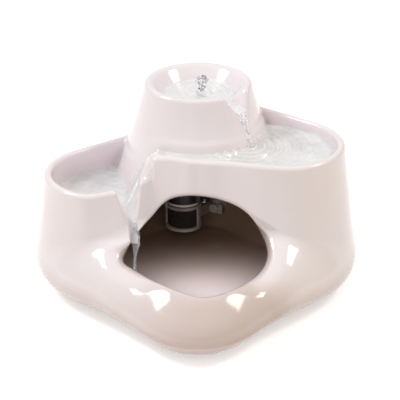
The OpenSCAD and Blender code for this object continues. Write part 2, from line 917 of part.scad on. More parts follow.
module motor_cap() {
    color(soft_black)
        difference() {
            at_pump(potting_top_z) cylinder(h = cap_t, r = motor_r - run_gap, $fn = 96);
            at_gland(potting_top_z - 1) cylinder(h = cap_t + 2, r = gland_r + run_gap, $fn = 48);
        }
}

module cord_gland() {
    color([0.16, 0.16, 0.17])
        at_gland(0)
            difference() {
                union() {
                    translate([0, 0, potting_top_z - gland_root])
                        cylinder(h = gland_root + cap_t, r = gland_r, $fn = 48);
                    translate([0, 0, housing_top_z])
                        cylinder(h = 1.5, r = gland_flange_r, $fn = 48);
                    translate([0, 0, housing_top_z])
                        cylinder(h = gland_h, r1 = gland_r, r2 = gland_bore_r + 0.8, $fn = 48);
                }
                translate([0, 0, potting_top_z - gland_root + 1.5])
                    cylinder(h = 30, r = gland_bore_r, $fn = 48);
            }
}

// ---- filter ----
cage_top_z = flow_z - 0.6;
cage_inner_r = cage_r - 2;
post_dirs = [-28, 47, 113, 180];
clip_dirs = [76, 138, 200];
clip_rise = 6;
clip_t = 1.6;
floor_bar_w = 2;

module cage_ring(z) {
    translate([0, 0, z])
        difference() {
            cylinder(h = ring_h, r = cage_r, $fn = 96);
            translate([0, 0, -1]) cylinder(h = ring_h + 2, r = cage_inner_r, $fn = 96);
        }
}

// Arm from the cage to the leg of the yoke nearer the pump, all seen from the pump's axis
arm_t = 2.4;
yoke_w = 15;
yoke_below = neck_r + 2.5;
yoke_above = 3.5;
yoke = [yoke_reach * cos(cup_dir) - pump_x, tower_y + yoke_reach * sin(cup_dir) - pump_y];
arm_end = yoke + 5 * [-sin(cup_dir), cos(cup_dir)] + yoke_t / 2 * [cos(cup_dir), sin(cup_dir)];

module cage_arm() {
    rotate([0, 0, atan2(arm_end.y, arm_end.x)])
        translate([cage_inner_r, -arm_t / 2, cup_z - yoke_below])
            cube([norm(arm_end) - cage_inner_r, arm_t, yoke_below + yoke_above]);
    translate([yoke.x, yoke.y, cup_z - yoke_below])
        rotate([0, 0, cup_dir])
            translate([0, -yoke_w / 2, 0])
                cube([yoke_t, yoke_w, yoke_below + yoke_above]);
}

module cage_body() {
    cage_ring(cage_z);
    cage_ring(cage_top_z - ring_h);
    for (a = post_dirs)
        rotate([0, 0, a])
            translate([cage_inner_r + 0.2, -post_w / 2, cage_z + ring_h / 2])
                cube([cage_r - cage_inner_r - 0.4, post_w, cage_top_z - cage_z - ring_h]);
    // bars that carry the foam
    for (a = [0 : 60 : 120])
        rotate([0, 0, a])
            translate([-cage_inner_r - 0.5, -floor_bar_w / 2, cage_z])
                cube([2 * cage_inner_r + 1, floor_bar_w, ring_h]);
    // clips that grip the pump housing's skirt
    for (a = clip_dirs)
        rotate([0, 0, a])
            translate([cage_inner_r + 0.5, -post_w / 2, cage_top_z - ring_h])
                cube([pump_r + seat_gap + clip_t - cage_inner_r - 0.5, post_w,
                      pump_z + clip_rise - cage_top_z + ring_h]);
}

module filter_cage() {
    color(cage_grey)
        difference() {
            at_pump(0) {
                cage_body();
                cage_arm();
            }
            // skirt of the pump and swing of the flow ring, inside the clips
            at_pump(cage_top_z) cylinder(h = 30, r = pump_r + seat_gap, $fn = 96);
            // way of the cup's neck into the yoke, open at the top
            translate([0, tower_y, cup_z])
                rotate([0, 0, cup_dir])
                    translate([yoke_reach - 6, 0, 0]) {
                        rotate([0, 90, 0]) cylinder(h = 14, r = neck_r + seat_gap, $fn = 48);
                        translate([0, -neck_r - seat_gap, 0]) cube([14, 2 * (neck_r + seat_gap), 12]);
                    }
        }
}

module foam_filter() {
    low = cage_z + ring_h;
    high = flow_z - seat_gap;
    color([0.10, 0.09, 0.09])
        at_pump(low)
            difference() {
                cylinder(h = high - low, r = cage_inner_r - seat_gap, $fn = 96);
                translate([0, 0, -1]) cylinder(h = high - low + 2, r = foam_bore_r, $fn = 64);
            }
}

ceramic_body();
foot_pad(0);  // foot_pad_front
foot_pad(1);  // foot_pad_back
foot_pad(2);  // foot_pad_left
foot_pad(3);  // foot_pad_right
cord_grommet();
riser_grommet();
riser_tube();
bubbler_nozzle();
suction_cup();
filter_cage();
foam_filter();
flow_ring();
intake_cover();
cover_seal();
pump_housing();
impeller();
rotor_magnet();
pump_shaft();
lower_bush();
upper_bush();
stator_core();
stator_coils();
potting();
motor_cap();
cord_gland();
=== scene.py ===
"""Looks of the pet water fountain: the glazed body, the water that runs over it, and every material."""
import json
import math

import bpy
import numpy as np
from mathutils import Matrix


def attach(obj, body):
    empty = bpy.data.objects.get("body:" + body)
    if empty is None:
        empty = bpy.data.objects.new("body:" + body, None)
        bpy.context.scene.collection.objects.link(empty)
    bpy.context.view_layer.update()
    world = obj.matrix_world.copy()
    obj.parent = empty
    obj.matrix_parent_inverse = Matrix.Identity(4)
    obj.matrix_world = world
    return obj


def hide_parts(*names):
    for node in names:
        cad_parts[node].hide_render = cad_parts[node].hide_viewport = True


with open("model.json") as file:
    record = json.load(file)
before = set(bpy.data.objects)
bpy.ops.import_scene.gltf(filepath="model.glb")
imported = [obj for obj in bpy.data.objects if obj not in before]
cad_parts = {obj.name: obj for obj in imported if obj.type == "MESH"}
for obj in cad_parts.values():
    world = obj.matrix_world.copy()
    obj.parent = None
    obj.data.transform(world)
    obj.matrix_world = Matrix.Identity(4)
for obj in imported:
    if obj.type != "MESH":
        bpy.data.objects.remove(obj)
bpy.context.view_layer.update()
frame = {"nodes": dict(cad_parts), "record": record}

import openvdb
from mathutils import Vector

MM = 0.001


# ---------------------------------------------------------------- shape helpers, in millimetres
def smooth_min(a, b, k):
    """Union, blended where a and b differ by less than k."""
    h = np.clip(0.5 + 0.5 * (b - a) / k, 0, 1)
    return b + (a - b) * h - k * h * (1 - h)


def smooth_max(a, b, k):
    """Intersection, blended where a and b differ by less than k."""
    return -smooth_min(-a, -b, k)


def round_max(a, b, r):
    """Intersection whose edge is a round of radius r."""
    u = np.maximum(a + r, 0)
    v = np.maximum(b + r, 0)
    return np.minimum(-r, np.maximum(a, b)) + np.hypot(u, v)


def round_min(a, b, r):
    """Union whose corner is a fillet of radius r."""
    return -round_max(-a, -b, r)


def s_step(t):
    """Soft step from 0 to 1 as t runs from 0 to 1."""
    t = np.clip(t, 0, 1)
    return t * t * (3 - 2 * t)


# ---------------------------------------------------------------- the body's form
# Heights end in Z, radii in R. Angles are in degrees from +X, and the front faces -Y.
# The base in plan: a round with four lobes, two hollows in front and a nose between them.
BASE_Z = 1.5
BASE_R = 123.5
LOBE_RISE = 3
FRONT = 270
NOSE_REACH = 19.5
HOLLOW_TURN = 45
HOLLOW_DEPTH = 15.5
BUMP_SHARPNESS = 6
# How the base narrows upwards, past a shoulder that stands higher on the nose's flanks.
SHOULDER_Z = 32
SHOULDER_RUN = 63
SHOULDER_POWER = 5
FLANK_RISE = 22
FLANK_TURN = 52.5
FLANK_SHARPNESS = 28
SLOPE_TOP = 79
SLOPE_POWER = 9
SLOPE_SCALE = 0.8
FOOT_ROUND = 36
WALL = 6.5
# The trays' walls: three lobes (x, y, radius at the left rim), which flare downwards.
LEFT_RIM_Z = 101
RIGHT_RIM_Z = 125
LEFT_LOBE = (-71.5, 19.5, 53)
RIGHT_LOBE = (64.5, 22.5, 56.5)
BACK_LOBE = (0, 72, 54)
SIDE_FLARE = 0.12
# The front: the wall between the trays through ROOT, and the left tray's lip through LIP_AT. Each has
# its direction in plan, pointing inwards, and a lean.
ROOT = (-44, -4)
WALL_FACE = (0.23, 0.973)
WALL_LEAN = 0.12
LIP_AT = (-65.5, -22)
LIP_FACE = (-0.42, 0.907)
LIP_LEAN = 0.2
FACES_BLEND = 4
FRONT_BLEND = 7
FORM_BLEND = 28


def bump_at(a, at, sharpness=BUMP_SHARPNESS):
    """Soft bump of height 1 at the angle at."""
    return np.exp(sharpness * (np.cos(np.radians(a - at)) - 1))


def bump_pair(a, turn, sharpness=BUMP_SHARPNESS):
    """Two soft bumps, turned both ways from the front."""
    return bump_at(a, FRONT - turn, sharpness) + bump_at(a, FRONT + turn, sharpness)


def plan_r(a):
    """Radius of the base in plan: four soft lobes, two hollows and a nose in front."""
    return (BASE_R + LOBE_RISE * np.cos(np.radians(4 * a))
            - HOLLOW_DEPTH * bump_pair(a, HOLLOW_TURN) + NOSE_REACH * bump_at(a, FRONT))


def slope(a, z):
    """How the base shrinks with height; its shoulder stands higher on both flanks of the front lobe."""
    shoulder = SHOULDER_Z + FLANK_RISE * bump_pair(a, FLANK_TURN, FLANK_SHARPNESS)
    lower = (1 + np.exp(SHOULDER_POWER * (z - shoulder) / SHOULDER_RUN)) ** (-1 / SHOULDER_POWER)
    return lower * (1 - np.clip(z / SLOPE_TOP, 0, 1) ** SLOPE_POWER)


def base_form(x, y, z):
    """The low base with its nose, under the trays."""
    a = np.degrees(np.arctan2(y, x))
    r = plan_r(a)
    turn = (plan_r(a + 1) - r) * 180 / np.pi / r
    return SLOPE_SCALE * (np.hypot(x, y) - r * slope(a, z)) / np.sqrt(1 + turn * turn)


def lobe_pair(x, y, c, d):
    """Distance to the hull of two circles, each (x, y, r)."""
    vx, vy = d[0] - c[0], d[1] - c[1]
    wx, wy = x - c[0], y - c[1]
    h = vx * vx + vy * vy
    across = np.abs(wx * vy - wy * vx) / h
    along = (wx * vx + wy * vy) / h
    drop = c[2] - d[2]
    run = np.sqrt(h - drop * drop)
    k = run * along - drop * across
    return np.where(k < 0, np.hypot(wx, wy) - c[2],
                    np.where(k > run, np.hypot(x - d[0], y - d[1]) - d[2],
                             run * across + drop * along - c[2]))


def behind_wall(x, y):
    """Distance behind the front wall, in plan at the right rim."""
    return WALL_FACE[0] * (x - ROOT[0]) + WALL_FACE[1] * (y - ROOT[1])


def form(x, y, z):
    """The outer skin: a hull of three lobes, cut by the front wall and the left lip, on the base."""
    flare = SIDE_FLARE * (LEFT_RIM_Z - z)
    left, right = ((at_x, at_y, r + flare) for at_x, at_y, r in (LEFT_LOBE, RIGHT_LOBE))
    upper = np.minimum(lobe_pair(x, y, left, right), lobe_pair(x, y, right, BACK_LOBE))
    upper = np.minimum(upper, lobe_pair(x, y, BACK_LOBE, left))
    wall = behind_wall(x, y) + WALL_LEAN * (RIGHT_RIM_Z - z)
    lip = (LIP_FACE[0] * (x - LIP_AT[0]) + LIP_FACE[1] * (y - LIP_AT[1])
           + LIP_LEAN * (LEFT_RIM_Z - z))
    upper = smooth_max(upper, -smooth_max(wall, lip, FACES_BLEND), FRONT_BLEND)
    return smooth_min(upper, base_form(x, y, z), FORM_BLEND)


# ---------------------------------------------------------------- rims, trays and tower
LEFT_FLOOR_Z = 72
LEDGE_Z = 114
RIGHT_FLOOR_Z = 102
RAMP_FROM_X = -57
RAMP_RUN = 34
DROP_FROM_X = 16
DROP_RUN = 24
TOWER_Y = 72
TOWER_TOP_Z = 158
TOWER_R = 43.5
TOWER_FLARE = 0.29
BOWL_R = 38.5
BOWL_FLARE = 0.9
BOWL_FLOOR_Z = 134
BOWL_ROUND = 9
# The rim: a pad beside the left spout, and a hill that climbs to the crest. HILL_AT is (x, y, z).
RIM_FRONT = (-24, 12)
PAD_RISE = 7
PAD_FROM_X = -60
PAD_RUN = 28
CREST_DROP = 1.5
CREST_FROM_X = -20
CREST_RUN = 16
HILL_AT = (-44, 5, 111.5)
HILL_RISE = 1.94
HILL_TURN = 0.28
CREST_BLEND = 7
HILL_BLEND = 6
# The hill stands on the front wall; in front of the wall the rim drops to the pad.
RIM_STEP_X = -39
RIM_STEP_RUN = 8
RIM_STEP_START = 4


def rim_z(x, y):
    """Height of the rim: low round the left tray, a pad beside the spout, then a slope to the right."""
    y = np.clip(y, *RIM_FRONT)
    pad = LEFT_RIM_Z + PAD_RISE * s_step((x - PAD_FROM_X) / PAD_RUN)
    crest = RIGHT_RIM_Z - CREST_DROP * s_step((CREST_FROM_X - x) / CREST_RUN)
    hill = HILL_AT[2] + HILL_RISE * (x - HILL_AT[0]) + HILL_TURN * (y - HILL_AT[1])
    hill = smooth_min(hill, crest, CREST_BLEND)
    widened = RIM_STEP_RUN * s_step((x - RIM_STEP_X) / RIM_STEP_RUN)
    on_wall = s_step((behind_wall(x, y) + RIM_STEP_START + widened) / RIM_STEP_RUN)
    return pad + smooth_max(hill - pad, 0, HILL_BLEND) * on_wall


def above_rim(x, y, z):
    """Distance above the rim, true also where the rim is steep."""
    height = rim_z(x, y)
    step = 0.5
    steep = np.hypot(rim_z(x + step, y) - height, rim_z(x, y + step) - height) / step
    return (z - height) / np.sqrt(1 + steep ** 2)


def tray_z(x):
    """Height of the trays' floor: the left tray, a ramp up to the ledge, and down into the right tray."""
    return (LEFT_FLOOR_Z + (LEDGE_Z - LEFT_FLOOR_Z) * s_step((x - RAMP_FROM_X) / RAMP_RUN)
            - (LEDGE_Z - RIGHT_FLOOR_Z) * s_step((x - DROP_FROM_X) / DROP_RUN))


def tower_radius(z):
    return TOWER_R + TOWER_FLARE * (TOWER_TOP_Z - z)


def tower_form(x, y, z, inset=0):
    """The tower's cone, moved inwards by inset."""
    return (np.hypot(x, y - TOWER_Y) - tower_radius(z) + inset) / math.hypot(1, TOWER_FLARE)


def bowl_form(x, y, z):
    """Hollow of the top bowl."""
    side = np.hypot(x, y - TOWER_Y) - (BOWL_R - BOWL_FLARE * (TOWER_TOP_Z - z))
    return round_max(side / math.hypot(1, BOWL_FLARE), BOWL_FLOOR_Z - z, BOWL_ROUND)


# ---------------------------------------------------------------- spouts
def in_spout(x, y, start, turn):
    """Distance outwards and sideways in the frame of a spout that starts at start, turned from -Y."""
    a = math.radians(turn)
    out = (x - start[0]) * math.sin(a) - (y - start[1]) * math.cos(a)
    side = (x - start[0]) * math.cos(a) + (y - start[1]) * math.sin(a)
    return out, side


def v_cut(out, side, z, rim, half_w, depth, fall, soft, skew=0):
    """V with a soft root, of fixed width at height rim, whose root falls with distance outwards."""
    d = (depth + fall * out) / (1 - soft / half_w)
    m = half_w / d
    side = side - skew * (rim - z) / d
    return (np.hypot(side, soft) - m * (z - rim + d)) / np.sqrt(1 + m * m)


LEFT_SPOUT = (-57.5, -4)
LEFT_SPOUT_TURN = 7
LEFT_SPOUT_HALF_W = 10.4
LEFT_SPOUT_SKEW = 5.1
LEFT_SPOUT_DEPTH = 27
LEFT_SPOUT_FALL = 0.58
LEFT_SPOUT_SOFT = 1.6
LEFT_SPOUT_ENDS = (-6, 34)
GUTTER_T = 4.5
GUTTER_UNDER_SKIN = 0.5
GUTTER_UNDER_FLOOR = 1
TOP_SPOUT_TURN = 48
TOP_SPOUT_HALF_W = 13.5
TOP_SPOUT_DEPTH = 17
TOP_SPOUT_FALL = 0.25
TOP_SPOUT_SOFT = 2
TOP_SPOUT_FROM = 30
TOP_SPOUT_ENDS = (20, 70)


def left_spout(x, y, z):
    """The left tray's spout, a skewed V in the lip."""
    out, side = in_spout(x, y, LEFT_SPOUT, LEFT_SPOUT_TURN)
    v = v_cut(out, side, z, LEFT_RIM_Z, LEFT_SPOUT_HALF_W, LEFT_SPOUT_DEPTH, LEFT_SPOUT_FALL,
              LEFT_SPOUT_SOFT, LEFT_SPOUT_SKEW)
    return np.maximum(v, np.maximum(LEFT_SPOUT_ENDS[0] - out, out - LEFT_SPOUT_ENDS[1]))


def gutter_form(x, y, z, skin):
    """Wall that carries the left spout's root out to the skin."""
    out, _ = in_spout(x, y, LEFT_SPOUT, LEFT_SPOUT_TURN)
    root = LEFT_RIM_Z - LEFT_SPOUT_DEPTH - LEFT_SPOUT_FALL * out
    wall = np.maximum(left_spout(x, y, z) - GUTTER_T, root - GUTTER_T - z)
    return np.maximum(np.maximum(wall, skin + GUTTER_UNDER_SKIN), z - tray_z(x) + GUTTER_UNDER_FLOOR)


def top_spout(x, y, z):
    """The top bowl's spout, a V in the tower's rim."""
    out, side = in_spout(x, y, (0, TOWER_Y), TOP_SPOUT_TURN)
    v = v_cut(out - TOP_SPOUT_FROM, side, z, TOWER_TOP_Z, TOP_SPOUT_HALF_W, TOP_SPOUT_DEPTH,
              TOP_SPOUT_FALL, TOP_SPOUT_SOFT)
    return np.maximum(v, np.maximum(TOP_SPOUT_ENDS[0] - out, out - TOP_SPOUT_ENDS[1]))


# ---------------------------------------------------------------- the drinking opening
OPENING_TILT = math.radians(30)
OPENING_AT = (-45, 60)
OPENING_REACH = 42
OPENING_POINTS = ((-58.8, -6.2), (-51.7, 9), (-38, 27.5), (-20.5, 43), (12, 42.5), (39.5, 29.5),
                  (54.3, 1.5), (44, -20), (9.5, -36.5), (-20.5, -29.8), (-48, -15.2))
MAP_STEP = 1.0
MAP_HALF = 100


def round_outline(points, steps=12):
    """Closed smooth curve through points."""
    p = np.asarray(points, float)
    a, b, c, d = (np.roll(p, k, 0)[:, None] for k in (1, 0, -1, -2))
    t = (np.arange(steps) / steps)[None, :, None]
    curve = (b + t / 2 * (c - a) + t ** 2 * (a - 2.5 * b + 2 * c - 0.5 * d)
             + t ** 3 * (1.5 * (b - c) + 0.5 * (d - a)))
    return curve.reshape(-1, 2)


def distance_map(outline):
    """Signed distance to a closed outline, on a square grid."""
    axis = np.arange(-MAP_HALF, MAP_HALF + MAP_STEP, MAP_STEP)
    u, v = np.meshgrid(axis, axis, indexing="ij")
    best = np.full(u.shape, 1e9)
    inside = np.zeros(u.shape, bool)
    for (au, av), (bu, bv) in zip(outline, np.roll(outline, -1, 0)):
        eu, ev = bu - au, bv - av
        h = np.clip(((u - au) * eu + (v - av) * ev) / (eu * eu + ev * ev), 0, 1)
        best = np.minimum(best, np.hypot(u - au - h * eu, v - av - h * ev))
        crosses = ((av > v) != (bv > v)) & (u < au + (v - av) * eu / (ev if ev else 1e-9))
        inside ^= crosses
    return np.where(inside, -best, best)


OPENING_MAP = distance_map(round_outline(OPENING_POINTS))


def tilted(y, z):
    """Height up the opening's tilted face, and depth in front of it."""
    dy, dz = y - OPENING_AT[0], z - OPENING_AT[1]
    return (dy * math.sin(OPENING_TILT) + dz * math.cos(OPENING_TILT),
            -dy * math.cos(OPENING_TILT) + dz * math.sin(OPENING_TILT))


def opening(x, y, z):
    """The drinking opening: one closed outline, driven in along its tilted direction."""
    v, w = tilted(y, z)
    last = len(OPENING_MAP) - 1.001
    i = np.clip((x + MAP_HALF) / MAP_STEP, 0, last)
    j = np.clip((v + MAP_HALF) / MAP_STEP, 0, last)
    i0, j0 = np.floor(i).astype(int), np.floor(j).astype(int)
    i, j = i - i0, j - j0
    out = ((OPENING_MAP[i0, j0] * (1 - i) + OPENING_MAP[i0 + 1, j0] * i) * (1 - j)
           + (OPENING_MAP[i0, j0 + 1] * (1 - i) + OPENING_MAP[i0 + 1, j0 + 1] * i) * j)
    return np.maximum(out, -OPENING_REACH - w)


EDGE_R = 2.5
FRONT_LIP_R = 4
FLANK_LIP_R = 17.5
FLANK_LIP_FROM = 25
FLANK_LIP_RUN = 25
LEFT_LIP_TOP = 12
LEFT_LIP_RUN = 14
RIGHT_LIP_TOP = 32
RIGHT_LIP_RUN = 20
LIP_REACH = 26


def lip_radius(x, y, z):
    """Rounding of the opening's edge: crisp above, soft in front, broad on both flanks."""
    v, _ = tilted(y, z)
    low = np.where(x < 0, s_step((LEFT_LIP_TOP - v) / LEFT_LIP_RUN),
                   s_step((RIGHT_LIP_TOP - v) / RIGHT_LIP_RUN))
    side = s_step((np.abs(x) - FLANK_LIP_FROM) / FLANK_LIP_RUN)
    return EDGE_R + low * (FRONT_LIP_R - EDGE_R + side * (FLANK_LIP_R - FRONT_LIP_R))


# ---------------------------------------------------------------- hollows and the whole body
BASIN_FLOOR_Z = 8.6
BASIN_ROUND = 5
CEILING_T = 7
CEILING_SCALE = 0.85
CEILING_ROUND = 8
BASIN_FOOT = 14
BASIN_FOOT_EXTRA = 9.5
BASIN_FOOT_FROM_X = -10
BASIN_FOOT_RUN = 64
BASIN_FOOT_RISE = 25
BASIN_FOOT_BLEND = 6
CAGE_ROOM = 6
CAGE_ROOM_R = 44
CAGE_ROOM_RUN = 14
THIN_WALL = 4
BANK_T = 11
BANK_X = -41
BANK_HALF = 9.5
BANK_END_Y = 12
BANK_RUN = 10
TRAY_SCALE = 0.8
TRAY_ROUND = 9
TOWER_FOOT_ROUND = 4
TOWER_RIM_ROUND = 2.4
TOWER_FILLET = 3.5
TOWER_ROOT = 4
TOWER_WALL = 7
HOLLOW_TOP_Z = 127
HOLLOW_ROUND = 6
HOLLOW_ROOT = 10
RIM_ROUND = 3.1
BASIN_BLEND = 2
GUTTER_BLEND = 3
OPENING_BLEND = 2
LEFT_SPOUT_BLEND = 1.6
TOP_SPOUT_BLEND = 4
PAD_SPOTS = ((0, -74), (0, 80), (-78, 14), (78, 14))
PAD_SEAT_R = 8.3
PAD_SEAT_Z = 3
RISER_HOLE_R = 7.5
RISER_HOLE_Z = 131
RISER_HOLE_HALF = 6
CORD_HOLE_R = 9
CORD_HOLE_Z = 72


def basin_form(x, y, z, inside):
    """Hollow of the basin: the inner wall, a floor, a ceiling and a slanted foot that spares the cage."""
    foot = BASIN_FOOT + BASIN_FOOT_EXTRA * s_step((x - BASIN_FOOT_FROM_X) / BASIN_FOOT_RUN)
    h = z - BASIN_FLOOR_Z
    slant = 1 + inside / foot - h / BASIN_FOOT_RISE
    slant = slant / np.sqrt(1 / foot ** 2 + 1 / BASIN_FOOT_RISE ** 2)
    slant = slant - CAGE_ROOM * s_step((CAGE_ROOM_R - np.hypot(x, y - TOWER_Y)) / CAGE_ROOM_RUN)
    hollow = round_max(inside, -h, BASIN_ROUND)
    hollow = smooth_max(hollow, slant, BASIN_FOOT_BLEND)
    return round_max(hollow, CEILING_SCALE * (z - tray_z(x) + CEILING_T), CEILING_ROUND)


def tray_form(x, y, z, inside):
    """Hollow of both trays and the ledge between them; a bank beside the left spout stays solid."""
    bank = BANK_T * np.exp(-((x - BANK_X) / BANK_HALF) ** 4) * s_step((BANK_END_Y - y) / BANK_RUN)
    tray = round_max(inside + bank, TRAY_SCALE * (tray_z(x) - z), TRAY_ROUND)
    return round_max(tray, -tower_form(x, y, z), TOWER_FOOT_ROUND)


def tower_shell(x, y, z, skin):
    """The tower and its bowl, which stay inside the skin below the right rim."""
    tower = np.maximum(tower_form(x, y, z), -bowl_form(x, y, z))
    tower = round_max(tower, z - TOWER_TOP_Z, TOWER_RIM_ROUND)
    tower = np.where(z < RIGHT_RIM_Z, np.maximum(tower, skin), tower)
    return np.maximum(tower, LEFT_FLOOR_Z - TOWER_ROOT - z)


def tower_hollow(x, y, z, inside):
    """Hollow under the tower, open to the basin below."""
    hollow = round_max(tower_form(x, y, z, TOWER_WALL), z - HOLLOW_TOP_Z, HOLLOW_ROUND)
    return np.maximum(hollow, np.maximum(inside, LEFT_FLOOR_Z - HOLLOW_ROOT - z))


def holes(x, y, z):
    """Seats of the foot pads, the riser's hole in the bowl's floor, and the cord's hole at the back."""
    cuts = [np.maximum(np.hypot(x - at_x, y - at_y) - PAD_SEAT_R, z - PAD_SEAT_Z)
            for at_x, at_y in PAD_SPOTS]
    cuts.append(np.maximum(np.hypot(x, y - TOWER_Y) - RISER_HOLE_R,
                           np.abs(z - RISER_HOLE_Z) - RISER_HOLE_HALF))
    cuts.append(np.maximum(np.hypot(x, z - CORD_HOLE_Z) - CORD_HOLE_R, TOWER_Y - y))
    return np.minimum.reduce(cuts)


def body_form(x, y, z):
    """Signed distance of the glazed body, about true near its surface."""
    skin = form(x, y, z)
    inside = skin + WALL
    gap = opening(x, y, z)
    lip_r = lip_radius(x, y, z)
    shell = round_max(skin, BASE_Z - z, FOOT_ROUND)
    solid = np.maximum(shell, -tray_form(x, y, z, inside))
    solid = round_max(solid, above_rim(x, y, z), RIM_ROUND)
    solid = round_min(solid, tower_shell(x, y, z, skin), TOWER_FILLET)
    thick = lip_r * s_step(1 - gap / LIP_REACH)
    basin = np.maximum(basin_form(x, y, z, inside + thick), shell + THIN_WALL)
    solid = smooth_max(solid, -basin, BASIN_BLEND)
    solid = smooth_min(solid, gutter_form(x, y, z, skin), GUTTER_BLEND)
    solid = np.maximum(solid, -tower_hollow(x, y, z, inside))
    solid = np.maximum(solid, round_max(skin, -gap, lip_r))
    solid = smooth_max(solid, -gap, OPENING_BLEND)
    solid = smooth_max(solid, -left_spout(x, y, z), LEFT_SPOUT_BLEND)
    solid = smooth_max(solid, -top_spout(x, y, z), TOP_SPOUT_BLEND)
    return np.maximum(solid, -holes(x, y, z))


# ---------------------------------------------------------------- meshing
BLOCK = 6
BAND = 3
BATCH = 3000
PULLS = 4
PULL_SHARE = 0.4


def surface(field, low, high, pitch):
    """Vertices and faces of field = 0 inside a box, with the vertices pulled onto it.

    The field is sampled once for each block of cells, and in every cell only where it may be near zero.
    """
    count = [int(math.ceil((high[i] - low[i]) / pitch / BLOCK)) for i in range(3)]
    corner = [low[i] + pitch * BLOCK * np.arange(count[i]) for i in range(3)]
    half = pitch * (BLOCK - 1) / 2
    band = BAND * pitch
    x, y, z = np.meshgrid(*(c + half for c in corner), indexing="ij")
    middle = field(x, y, z)
    block_reach = 2.2 * half + 2 * pitch
    near = np.argwhere(np.abs(middle) < block_reach)
    grid = np.clip(middle, -band, band)
    for axis in range(3):
        grid = np.repeat(grid, BLOCK, axis)
    cell = np.stack(np.meshgrid(*[np.arange(BLOCK)] * 3, indexing="ij"), -1).reshape(-1, 3)
    for part in np.array_split(near, len(near) // BATCH + 1):
        index = (part[:, None] * BLOCK + cell).reshape(-1, 3)
        place = index * pitch + np.array(low)
        grid[tuple(index.T)] = np.clip(field(*place.T), -band, band)
    volume = openvdb.FloatGrid(background=band)
    volume.copyFromArray(grid.astype(np.float32))
    volume.transform = openvdb.createLinearTransform(voxelSize=pitch)
    points, _, quads = volume.convertToPolygons(isovalue=0.0, adaptivity=0.0)
    points = points.astype(float) + np.array(low)
    for _ in range(PULLS):
        points = pulled(field, points, PULL_SHARE * pitch)
    return points, quads


def pulled(field, points, most):
    """Points moved towards field = 0 along its gradient, each by no more than most."""
    step = 0.05
    gradient = np.stack([(field(*(points + step * e).T) - field(*(points - step * e).T)) / (2 * step)
                         for e in np.eye(3)], -1)
    size = np.maximum((gradient ** 2).sum(-1), 0.2)
    move = gradient * (field(*points.T) / size)[:, None]
    length = np.maximum(np.linalg.norm(move, axis=1, keepdims=True), 1e-9)
    return points - move * np.minimum(1, most / length)


def mesh_object(name, points, faces, material):
    """Smooth mesh object from points in millimetres and a list of faces."""
    mesh = bpy.data.meshes.new(name)
    mesh.from_pydata((np.asarray(points) * MM).tolist(), [], faces)
    mesh.validate()
    mesh.polygons.foreach_set("use_smooth", [True] * len(mesh.polygons))
    obj = bpy.data.objects.new(name, mesh)
    bpy.context.scene.collection.objects.link(obj)
    obj.data.materials.append(material)
    return obj


def color_attribute(obj, name, values):
    """Grey value for each vertex, which a material reads by its name."""
    attribute = obj.data.color_attributes.new(name, "FLOAT_COLOR", "POINT")
    rgba = np.ones((len(values), 4), np.float32)
    rgba[:, :3] = np.asarray(values)[:, None]
    attribute.data.foreach_set("color", rgba.ravel())


# ---------------------------------------------------------------- materials
def srgb(r, g, b):
    """A colour written as it is seen, 0 to 255, for a node's socket."""
    linear = [v / 255 / 12.92 if v <= 10 else ((v / 255 + 0.055) / 1.055) ** 2.4 for v in (r, g, b)]
    return (*linear, 1)


